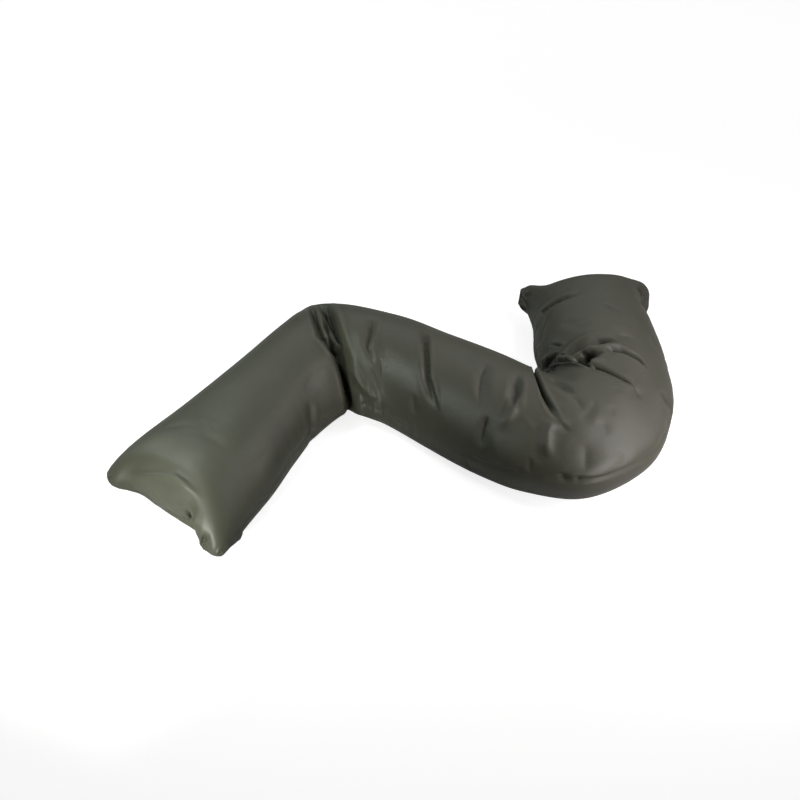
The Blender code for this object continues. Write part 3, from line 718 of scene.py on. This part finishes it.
def wave(place, seed):
    """An uneven wave along the seam, between about -1 and 1."""
    random = np.random.default_rng(seed)
    total = np.zeros_like(place)
    for _ in range(pucker_waves):
        total += np.sin(2 * pi * (place / (pucker_gap * random.uniform(*pucker_range)) + random.uniform()))
    return total / pucker_waves ** 0.5


def unit(ways):
    """The same directions, each of length one."""
    return ways / np.linalg.norm(ways, axis=-1, keepdims=True)


def sewn(top, bottom, cloth, across, under_across):
    """Both panels drawn in along the seam, in the direction between the ways out of the two."""
    upper_out = facing(top, cloth, across)[2]
    lower_out = -facing(bottom, cloth, under_across)[2]
    step = (top.shape[1] - 1) // (bottom.shape[1] - 1)
    side_out = [unit(upper_out[:, edge] + lower_out[:, edge]) for edge in (0, -1)]
    top_end_out = [unit(upper_out[edge] + np.repeat(lower_out[edge], step, axis=0)[:len(across)])
                   for edge in (0, -1)]
    bottom_end_out = [unit(upper_out[edge, ::step] + lower_out[edge]) for edge in (0, -1)]
    deeper = bend_groove * hump(cloth, bend_groove_at, bend_groove_reach)
    result = []
    for panel, places, out, end_out in ((top, across, upper_out, top_end_out),
                                        (bottom, under_across, lower_out, bottom_end_out)):
        distances = seam_distance(panel)
        weights = [hump(distance, 0, groove_width) for distance in distances]
        share = 1 / np.maximum(sum(weights), 1)
        moved = panel - share[..., None] * (
            groove_depth * weights[0][..., None] * side_out[0][:, None]
            + (groove_depth + deeper)[:, None, None] * weights[1][..., None] * side_out[1][:, None]
            + groove_depth * weights[2][..., None] * end_out[0][None]
            + groove_depth * weights[3][..., None] * end_out[1][None])
        waves = ([wave(cloth, seed)[:, None] for seed in side_seeds]
                 + [wave(places * half_panel, seed)[None] for seed in end_seeds])
        for distance, weight, shape in zip(distances, weights, waves):
            rise = pucker_height * shape * np.exp(-distance / pucker_reach) * (1 - weight)
            moved = moved + rise[..., None] * out
        result.append(moved)
    return result


# How the wear and the painted crease shade are laid on: the cloth rubs where it stands out of what lies round
# it, and shade is painted where it sinks into a crease
relief_reach = 0.012
relief_full = 0.003


def relief(panel, cloth, across):
    """How far each point stands out of the cloth round it, from -1 in a deep crease to 1 on a sharp ridge."""
    out = facing(panel, cloth, across)[2]
    row_gaps, column_gaps = cloth[:, None] - cloth, (across[:, None] - across) * half_panel
    mean = evened(panel, row_gaps, relief_reach)
    mean = evened(mean.swapaxes(0, 1), column_gaps, relief_reach).swapaxes(0, 1)
    height = ((panel - mean) * out).sum(axis=-1)
    return np.clip((height - evened(height, row_gaps, relief_reach)) / relief_full, -1, 1)


# The bag is put together on two grids, each given as the strips between two ribs, the rows of an end and the
# strips across a panel. The pleats are simulated on the coarse one. The lower panel has half the columns.
coarse_grid = (2, 12, 40)
fine_grid = (4, 24, 120)
column_step = 2

cloth, across, top, bottom = folded_panels(*fine_grid)
under_across = across[::column_step]
bottom = bottom[:, ::column_step]
coarse = folded_panels(*coarse_grid)
upper_pleats, lower_pleats = pleats(*coarse)
top = top + spread(upper_pleats, coarse[0], coarse[1], cloth, across)
bottom = bottom + spread(lower_pleats, coarse[0], coarse[1], cloth, under_across)
top = creased(top, cloth, across)
top, bottom = sewn(top, bottom, cloth, across, under_across)
for row, next_row in ((0, 1), (-1, -2)):
    for column, next_column in ((0, 1), (-1, -2)):
        top[row, column] = (top[row, next_column] + top[next_row, column]) / 2
top[..., 2] = np.maximum(top[..., 2], 0)
bottom[..., 2] = np.maximum(bottom[..., 2], 0)
bag_mesh, upper, lower = sew(cloth, across, top, bottom)
bag_relief = np.concatenate([relief(top, cloth, across).ravel(),
                             -relief(bottom, cloth, under_across)[1:-1, 1:-1].ravel()])
upper_out = facing(top, cloth, across)[2]
under_out = -facing(bottom, cloth, under_across)[2]
under_out = smooth(under_out.swapaxes(0, 1), under_across, across).swapaxes(0, 1)
way_out = (upper_out + under_out).reshape(-1, 3)

# The coated cloth is a fine plain weave under a matt satin coating. Its colour is a little uneven from the
# coating and paler where the folds and the seam rub, and painted shade makes it darker down in the creases.
cloth_olive = (0.043, 0.044, 0.031, 1)
pale_olive = (0.059, 0.060, 0.043, 1)
# painted shade: the near-black olive that the creases are darkened toward
crease_shade_olive = (0.015, 0.015, 0.010, 1)
uneven_scale, uneven_detail, uneven_range = 9.0, 3, (0.35, 0.65)
mottle_scale, mottle_detail, mottle_range = 70.0, 4, (0.3, 0.7)
paler_uneven, paler_mottle = 0.35, 0.15
rub_starts, rub_most, rub_least = 0.15, 0.7, 0.6
# where the painted crease shade starts and ends on the relief, and how much of it there is at most
painted_shade_starts, painted_shade_ends, painted_shade_most = -0.10, -0.9, 0.8
dull_mottle, dull_uneven, dull_rub = 0.3, 0.4, 0.3
smooth_roughness = 0.42
rough_roughness = 0.54
coating_shine = 0.40
weave_pitch = 0.0006
weave_height = 0.00003
wave_turns = 20              # the wave texture makes this many radians for each unit at a scale of one
crumple_scale, crumple_detail, crumple_roughness = 38.0, 3, 0.6
crumple_height = 0.0007
soft_fold_scale, soft_fold_detail, soft_fold_roughness = 13.0, 2, 0.4
soft_fold_height = 0.0016

coated_cloth = bpy.data.materials.new("coated_cloth_finish")
coated_cloth.use_nodes = True
nodes, links = coated_cloth.node_tree.nodes, coated_cloth.node_tree.links
shader = nodes["Principled BSDF"]
shader.inputs["Specular IOR Level"].default_value = coating_shine
place = nodes.new("ShaderNodeTexCoord")
cloth_place = nodes.new("ShaderNodeUVMap")
cloth_place.uv_map = "cloth"
# the relief drives both the paler rubbed wear and the painted shade in the creases
wear_and_shade_relief = nodes.new("ShaderNodeAttribute")
wear_and_shade_relief.attribute_name = "relief"


def noise_on(scale, detail, roughness=0.5, kind="FBM"):
    """A pattern that lies still in the bag's own space."""
    texture = nodes.new("ShaderNodeTexNoise")
    texture.noise_type = kind
    for name, value in (("Scale", scale), ("Detail", detail), ("Roughness", roughness)):
        texture.inputs[name].default_value = value
    links.new(place.outputs["Object"], texture.inputs["Vector"])
    return texture.outputs["Fac"]


def mapped(value, low, high, to_low, to_high):
    """A value moved from one range to another."""
    node = nodes.new("ShaderNodeMapRange")
    for name, end in (("From Min", low), ("From Max", high), ("To Min", to_low), ("To Max", to_high)):
        node.inputs[name].default_value = end
    links.new(value, node.inputs["Value"])
    return node.outputs["Result"]


def mixed(factor, first, second):
    """A colour between two, each given as a tuple or from another node."""
    node = nodes.new("ShaderNodeMix")
    node.data_type = "RGBA"
    links.new(factor, node.inputs["Factor"])
    for socket, colour in ((node.inputs["A"], first), (node.inputs["B"], second)):
        if isinstance(colour, tuple):
            socket.default_value = colour
        else:
            links.new(colour, socket)
    return node.outputs["Result"]


def reckoned(operation, first, second):
    """Two values put together, each given as a number or from another node."""
    node = nodes.new("ShaderNodeMath")
    node.operation = operation
    for socket, value in zip(node.inputs, (first, second)):
        if isinstance(value, (int, float)):
            socket.default_value = value
        else:
            links.new(value, socket)
    return node.outputs["Value"]


uneven = mapped(noise_on(uneven_scale, uneven_detail), *uneven_range, 0.0, 1.0)
mottle = mapped(noise_on(mottle_scale, mottle_detail), *mottle_range, 0.0, 1.0)
patchy = reckoned("MULTIPLY", mottle, paler_mottle)
patchy = reckoned("ADD", reckoned("MULTIPLY", uneven, paler_uneven), patchy)
colour = mixed(patchy, cloth_olive, pale_olive)
raised = mapped(wear_and_shade_relief.outputs["Fac"], rub_starts, 1.0, 0.0, rub_most)
worn = reckoned("MULTIPLY", raised, mapped(mottle, 0, 1, rub_least, 1.0))
colour = mixed(worn, colour, pale_olive)
# Painted shade: the colour is darkened toward a near-black olive down in the creases, where the folds would
# shade the cloth
painted_crease_shade = mapped(wear_and_shade_relief.outputs["Fac"], painted_shade_starts, painted_shade_ends, 0.0, painted_shade_most)
colour = mixed(painted_crease_shade, colour, crease_shade_olive)
links.new(colour, shader.inputs["Base Color"])
dull = reckoned("ADD", reckoned("MULTIPLY", uneven, dull_uneven), reckoned("MULTIPLY", worn, dull_rub))
dull = reckoned("ADD", reckoned("MULTIPLY", mottle, dull_mottle), dull)
links.new(mapped(dull, 0, 1, smooth_roughness, rough_roughness), shader.inputs["Roughness"])


def thread_wave(direction):
    """The rise and fall of the threads that run one way."""
    texture = nodes.new("ShaderNodeTexWave")
    texture.bands_direction = direction
    texture.inputs["Scale"].default_value = 2 * pi / wave_turns / weave_pitch
    links.new(cloth_place.outputs["UV"], texture.inputs["Vector"])
    return texture.outputs["Fac"]


crumpled = noise_on(crumple_scale, crumple_detail, crumple_roughness)
soft_folds = noise_on(soft_fold_scale, soft_fold_detail, soft_fold_roughness, "RIDGED_MULTIFRACTAL")
surface = None
for shape, height in ((reckoned("MULTIPLY", thread_wave("X"), thread_wave("Y")), weave_height),
                      (crumpled, crumple_height), (soft_folds, soft_fold_height)):
    bump = nodes.new("ShaderNodeBump")
    bump.inputs["Distance"].default_value = height
    links.new(shape, bump.inputs["Height"])
    if surface:
        links.new(surface, bump.inputs["Normal"])
    surface = bump.outputs["Normal"]
links.new(surface, shader.inputs["Normal"])

relief_layer = bag_mesh.attributes.new("relief", "FLOAT", "POINT")
relief_layer.data.foreach_set("value", bag_relief.astype(np.float32))
bag_mesh.materials.append(coated_cloth)
bag_mesh.shade_smooth()
bag_piece = put_in("filled_bag", bag_mesh)
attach(bag_piece, body)
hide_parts("cushion")

# The thread: the filling pulls the seam open a little, so the stitches that hold it show as short bars across
# the groove, in a darker thread.
stitch_pitch = 0.0034
stitch_length = 0.0040
stitch_radius = 0.0007
stitch_lean = 0.35
stitch_depth = 0.0005
stitch_sides = 6
way_evenings = 12            # times that the way out is evened with its neighbours
thread_dark = (0.018, 0.020, 0.016, 1)
thread_roughness = 0.55
twist_scale = 900.0

thread_finish = bpy.data.materials.new("seam_thread")
thread_finish.use_nodes = True
thread_tree = thread_finish.node_tree
thread_shader = thread_tree.nodes["Principled BSDF"]
thread_shader.inputs["Roughness"].default_value = thread_roughness
twist = thread_tree.nodes.new("ShaderNodeTexNoise")
twist.inputs["Scale"].default_value = twist_scale
tint = thread_tree.nodes.new("ShaderNodeMix")
tint.data_type = "RGBA"
tint.inputs["A"].default_value = thread_dark
tint.inputs["B"].default_value = pale_olive
thread_place = thread_tree.nodes.new("ShaderNodeTexCoord")
thread_tree.links.new(thread_place.outputs["Object"], twist.inputs["Vector"])
thread_tree.links.new(twist.outputs["Fac"], tint.inputs["Factor"])
thread_tree.links.new(tint.outputs["Result"], thread_shader.inputs["Base Color"])

# The seam's own line, all round the bag, with the way out of the bag at each point
ring = np.concatenate([upper[:-1, 0], upper[-1, :-1], upper[:0:-1, -1], upper[0, :0:-1]])
seam_mesh = bpy.data.meshes.new("seam_line")
seam_way = way_out[ring]
for _ in range(way_evenings):
    seam_way = (np.roll(seam_way, 1, axis=0) + seam_way + np.roll(seam_way, -1, axis=0)) / 3
seam_edges = [(k, (k + 1) % len(ring)) for k in range(len(ring))]
seam_mesh.from_pydata(top.reshape(-1, 3)[ring].tolist(), seam_edges, [])
seam_out = seam_mesh.attributes.new("way_out", "FLOAT_VECTOR", "POINT")
seam_out.data.foreach_set("vector", unit(seam_way).astype(np.float32).ravel())
seam_piece = put_in("seam_stitches", seam_mesh)

tree = bpy.data.node_groups.new("stitches_along_a_seam", "GeometryNodeTree")
tree.interface.new_socket("Seam", in_out="INPUT", socket_type="NodeSocketGeometry")
inputs = {}
for name, value in (("Pitch", stitch_pitch), ("Length", stitch_length), ("Radius", stitch_radius),
                    ("Lean", stitch_lean), ("Depth", stitch_depth)):
    socket = tree.interface.new_socket(name, in_out="INPUT", socket_type="NodeSocketFloat")
    inputs[name] = (socket.identifier, value)
tree.interface.new_socket("Stitches", in_out="OUTPUT", socket_type="NodeSocketGeometry")


def step(kind, settings=(), **fed):
    """One step of the tree, with its settings and what feeds its sockets."""
    node = tree.nodes.new(kind)
    for name, value in settings:
        setattr(node, name, value)
    for name, source in fed.items():
        tree.links.new(source, node.inputs[name])
    return node.outputs


def way_step(operation, first, second):
    """A direction reckoned from two others, or from one and how much it is scaled."""
    node = tree.nodes.new("ShaderNodeVectorMath")
    node.operation = operation
    tree.links.new(first, node.inputs[0])
    tree.links.new(second, node.inputs["Scale" if operation == "SCALE" else 1])
    return node.outputs["Vector"]


given = step("NodeGroupInput")
curve = step("GeometryNodeMeshToCurve", Mesh=given["Seam"])
even = step("GeometryNodeResampleCurve", [("mode", "LENGTH")], Curve=curve["Curve"], Length=given["Pitch"])

bar = tree.nodes.new("GeometryNodeMeshCylinder")
bar.inputs["Vertices"].default_value = stitch_sides
bar.fill_type = "TRIANGLE_FAN"
tree.links.new(given["Length"], bar.inputs["Depth"])
tree.links.new(given["Radius"], bar.inputs["Radius"])

out_attribute = tree.nodes.new("GeometryNodeInputNamedAttribute")
out_attribute.data_type = "FLOAT_VECTOR"
out_attribute.inputs["Name"].default_value = "way_out"
out_way = out_attribute.outputs["Attribute"]
tangent = step("GeometryNodeInputTangent")["Tangent"]
leaning = way_step("SCALE", tangent, given["Lean"])
leaning = way_step("ADD", way_step("CROSS_PRODUCT", tangent, out_way), leaning)
turn = step("FunctionNodeAlignRotationToVector", [("axis", "Z")], Vector=leaning)

minus = tree.nodes.new("ShaderNodeMath")
minus.operation = "MULTIPLY"
minus.inputs[1].default_value = -1
tree.links.new(given["Depth"], minus.inputs[0])
inwards = way_step("SCALE", out_way, minus.outputs["Value"])
sunk = step("GeometryNodeSetPosition", Geometry=even["Curve"], Offset=inwards)

bars = step("GeometryNodeInstanceOnPoints", Points=sunk["Geometry"], Instance=bar.outputs["Mesh"],
            Rotation=turn["Rotation"])
real = step("GeometryNodeRealizeInstances", Geometry=bars["Instances"])
painted = tree.nodes.new("GeometryNodeSetMaterial")
painted.inputs["Material"].default_value = thread_finish
tree.links.new(real["Geometry"], painted.inputs["Geometry"])
step("NodeGroupOutput", Stitches=painted.outputs["Geometry"])

stitching = seam_piece.modifiers.new("stitches", "NODES")
stitching.node_group = tree
for identifier, value in inputs.values():
    stitching[identifier] = value
evaluated = seam_piece.evaluated_get(bpy.context.evaluated_depsgraph_get())
stitch_mesh = bpy.data.meshes.new_from_object(evaluated)
seam_piece.modifiers.clear()
seam_piece.data = stitch_mesh
stitch_mesh.shade_smooth()
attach(seam_piece, body)
